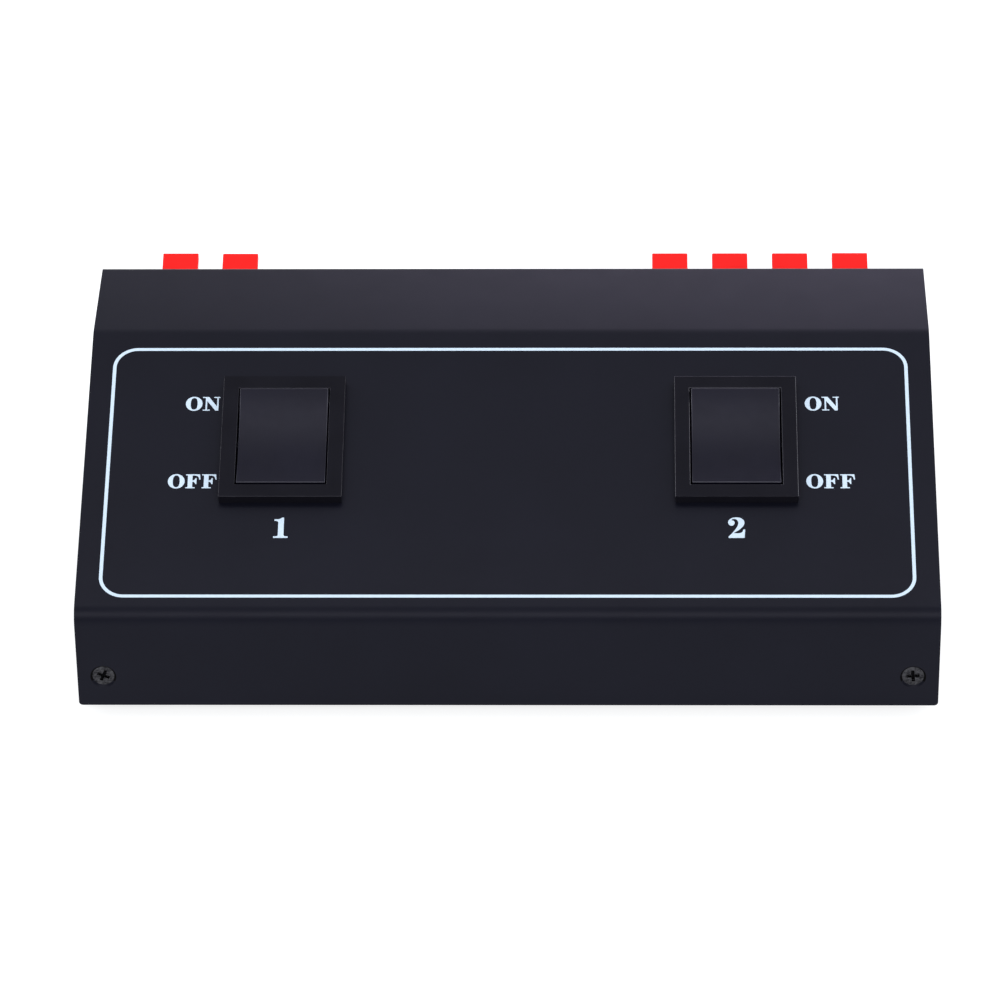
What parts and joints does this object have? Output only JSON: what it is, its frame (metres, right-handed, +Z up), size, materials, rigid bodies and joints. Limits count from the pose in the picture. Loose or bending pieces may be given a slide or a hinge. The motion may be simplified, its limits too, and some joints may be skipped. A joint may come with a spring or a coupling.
{
  "type": "loudspeaker selector box",
  "caption": "Low wedge-shaped black steel box with rocker switches on its sloping panel and spring terminals on its back, for switching pairs of loudspeakers.",
  "frame": {"origin": "middle of the whole outline, on the surface that the feet stand on", "axes": "+X to the right seen from the front, +Y to the terminals at the rear, +Z up"},
  "size_m": [0.172, 0.1082, 0.049],
  "materials": {
    "black_enamel_steel": "satin baked enamel with a fine texture",
    "bezel_black": "satin moulded plastic",
    "rocker_black": "satin moulded plastic",
    "block_black": "smooth moulded plastic",
    "lever_red": "smooth moulded plastic",
    "lever_black": "smooth moulded plastic",
    "contact_brass": "rolled sheet",
    "spring_steel": "bright",
    "zinc_steel": "bright zinc plate",
    "black_oxide_screw": "black oxide, oiled",
    "foot_rubber": "matt",
    "wire_red": "soft insulation",
    "wire_black": "soft insulation"
  },
  "bodies": {
    "case": {"top_cover": "black_enamel_steel", "base_chassis": "black_enamel_steel", "foot_front_left": "foot_rubber", "foot_front_right": "foot_rubber", "foot_rear_left": "foot_rubber", "foot_rear_right": "foot_rubber", "front_cover_screws": "black_oxide_screw", "rear_cover_screws": "black_oxide_screw", "left_switch_housing": "bezel_black", "left_switch_terminals": "contact_brass", "right_switch_housing": "bezel_black", "right_switch_terminals": "contact_brass", "input_block_body": "block_black", "output_block_body": "block_black", "block_screws": "zinc_steel", "block_nuts": "zinc_steel", "input_left_red_spring": "spring_steel", "input_left_black_spring": "spring_steel", "input_right_red_spring": "spring_steel", "input_right_black_spring": "spring_steel", "output1_left_red_spring": "spring_steel", "output1_left_black_spring": "spring_steel", "output1_right_red_spring": "spring_steel", "output1_right_black_spring": "spring_steel", "output2_left_red_spring": "spring_steel", "output2_left_black_spring": "spring_steel", "output2_right_red_spring": "spring_steel", "output2_right_black_spring": "spring_steel", "positive_wires": "wire_red", "negative_wires": "wire_black"},
    "left_rocker": {"left_rocker": "rocker_black", "left_switch_plungers": "contact_brass", "left_plunger_springs": "spring_steel"},
    "left_contacts": {"left_moving_contacts": "contact_brass"},
    "right_rocker": {"right_rocker": "rocker_black", "right_switch_plungers": "contact_brass", "right_plunger_springs": "spring_steel"},
    "right_contacts": {"right_moving_contacts": "contact_brass"},
    "input_left_red_lever": {"input_left_red_lever": "lever_red"},
    "input_left_black_lever": {"input_left_black_lever": "lever_black"},
    "input_right_red_lever": {"input_right_red_lever": "lever_red"},
    "input_right_black_lever": {"input_right_black_lever": "lever_black"},
    "output1_left_red_lever": {"output1_left_red_lever": "lever_red"},
    "output1_left_black_lever": {"output1_left_black_lever": "lever_black"},
    "output1_right_red_lever": {"output1_right_red_lever": "lever_red"},
    "output1_right_black_lever": {"output1_right_black_lever": "lever_black"},
    "output2_left_red_lever": {"output2_left_red_lever": "lever_red"},
    "output2_left_black_lever": {"output2_left_black_lever": "lever_black"},
    "output2_right_red_lever": {"output2_right_red_lever": "lever_red"},
    "output2_right_black_lever": {"output2_right_black_lever": "lever_black"}
  },
  "joints": [
    {"name": "left_rocker_tilt", "type": "hinge", "parent": "case", "child": "left_rocker", "pos_m": [-0.0459, -0.01312, 0.03799], "axis": [1, 0, 0], "range_deg": [-7, 0]},
    {"name": "left_contacts_rock", "type": "hinge", "parent": "case", "child": "left_contacts", "pos_m": [-0.0459, -0.00896, 0.02631], "axis": [1, 0, 0], "range_deg": [0, 12]},
    {"name": "right_rocker_tilt", "type": "hinge", "parent": "case", "child": "right_rocker", "pos_m": [0.0459, -0.01312, 0.03799], "axis": [1, 0, 0], "range_deg": [-7, 0]},
    {"name": "right_contacts_rock", "type": "hinge", "parent": "case", "child": "right_contacts", "pos_m": [0.0459, -0.00896, 0.02631], "axis": [1, 0, 0], "range_deg": [0, 12]},
    {"name": "input_left_red_lever_press", "type": "hinge", "parent": "case", "child": "input_left_red_lever", "pos_m": [-0.07075, 0.03647, 0.0373], "axis": [-1, 0, 0], "range_deg": [0, 20], "stiffness_Nm_per_rad": 0.08, "springref_deg": -17.19, "deforming": ["input_left_red_spring"]},
    {"name": "input_left_black_lever_press", "type": "hinge", "parent": "case", "child": "input_left_black_lever", "pos_m": [-0.07075, 0.03647, 0.0223], "axis": [-1, 0, 0], "range_deg": [0, 20], "stiffness_Nm_per_rad": 0.08, "springref_deg": -17.19, "deforming": ["input_left_black_spring"]},
    {"name": "input_right_red_lever_press", "type": "hinge", "parent": "case", "child": "input_right_red_lever", "pos_m": [-0.05805, 0.03647, 0.0373], "axis": [-1, 0, 0], "range_deg": [0, 20], "stiffness_Nm_per_rad": 0.08, "springref_deg": -17.19, "deforming": ["input_right_red_spring"]},
    {"name": "input_right_black_lever_press", "type": "hinge", "parent": "case", "child": "input_right_black_lever", "pos_m": [-0.05805, 0.03647, 0.0223], "axis": [-1, 0, 0], "range_deg": [0, 20], "stiffness_Nm_per_rad": 0.08, "springref_deg": -17.19, "deforming": ["input_right_black_spring"]},
    {"name": "output1_left_red_lever_press", "type": "hinge", "parent": "case", "child": "output1_left_red_lever", "pos_m": [0.03315, 0.03647, 0.0373], "axis": [-1, 0, 0], "range_deg": [0, 20], "stiffness_Nm_per_rad": 0.08, "springref_deg": -17.19, "deforming": ["output1_left_red_spring"]},
    {"name": "output1_left_black_lever_press", "type": "hinge", "parent": "case", "child": "output1_left_black_lever", "pos_m": [0.03315, 0.03647, 0.0223], "axis": [-1, 0, 0], "range_deg": [0, 20], "stiffness_Nm_per_rad": 0.08, "springref_deg": -17.19, "deforming": ["output1_left_black_spring"]},
    {"name": "output1_right_red_lever_press", "type": "hinge", "parent": "case", "child": "output1_right_red_lever", "pos_m": [0.04585, 0.03647, 0.0373], "axis": [-1, 0, 0], "range_deg": [0, 20], "stiffness_Nm_per_rad": 0.08, "springref_deg": -17.19, "deforming": ["output1_right_red_spring"]},
    {"name": "output1_right_black_lever_press", "type": "hinge", "parent": "case", "child": "output1_right_black_lever", "pos_m": [0.04585, 0.03647, 0.0223], "axis": [-1, 0, 0], "range_deg": [0, 20], "stiffness_Nm_per_rad": 0.08, "springref_deg": -17.19, "deforming": ["output1_right_black_spring"]},
    {"name": "output2_left_red_lever_press", "type": "hinge", "parent": "case", "child": "output2_left_red_lever", "pos_m": [0.05855, 0.03647, 0.0373], "axis": [-1, 0, 0], "range_deg": [0, 20], "stiffness_Nm_per_rad": 0.08, "springref_deg": -17.19, "deforming": ["output2_left_red_spring"]},
    {"name": "output2_left_black_lever_press", "type": "hinge", "parent": "case", "child": "output2_left_black_lever", "pos_m": [0.05855, 0.03647, 0.0223], "axis": [-1, 0, 0], "range_deg": [0, 20], "stiffness_Nm_per_rad": 0.08, "springref_deg": -17.19, "deforming": ["output2_left_black_spring"]},
    {"name": "output2_right_red_lever_press", "type": "hinge", "parent": "case", "child": "output2_right_red_lever", "pos_m": [0.07125, 0.03647, 0.0373], "axis": [-1, 0, 0], "range_deg": [0, 20], "stiffness_Nm_per_rad": 0.08, "springref_deg": -17.19, "deforming": ["output2_right_red_spring"]},
    {"name": "output2_right_black_lever_press", "type": "hinge", "parent": "case", "child": "output2_right_black_lever", "pos_m": [0.07125, 0.03647, 0.0223], "axis": [-1, 0, 0], "range_deg": [0, 20], "stiffness_Nm_per_rad": 0.08, "springref_deg": -17.19, "deforming": ["output2_right_black_spring"]}
  ],
  "couplings": [
    {"joint": "left_contacts_rock", "follows": "left_rocker_tilt", "ratio": -1.7143},
    {"joint": "right_contacts_rock", "follows": "right_rocker_tilt", "ratio": -1.7143}
  ]
}
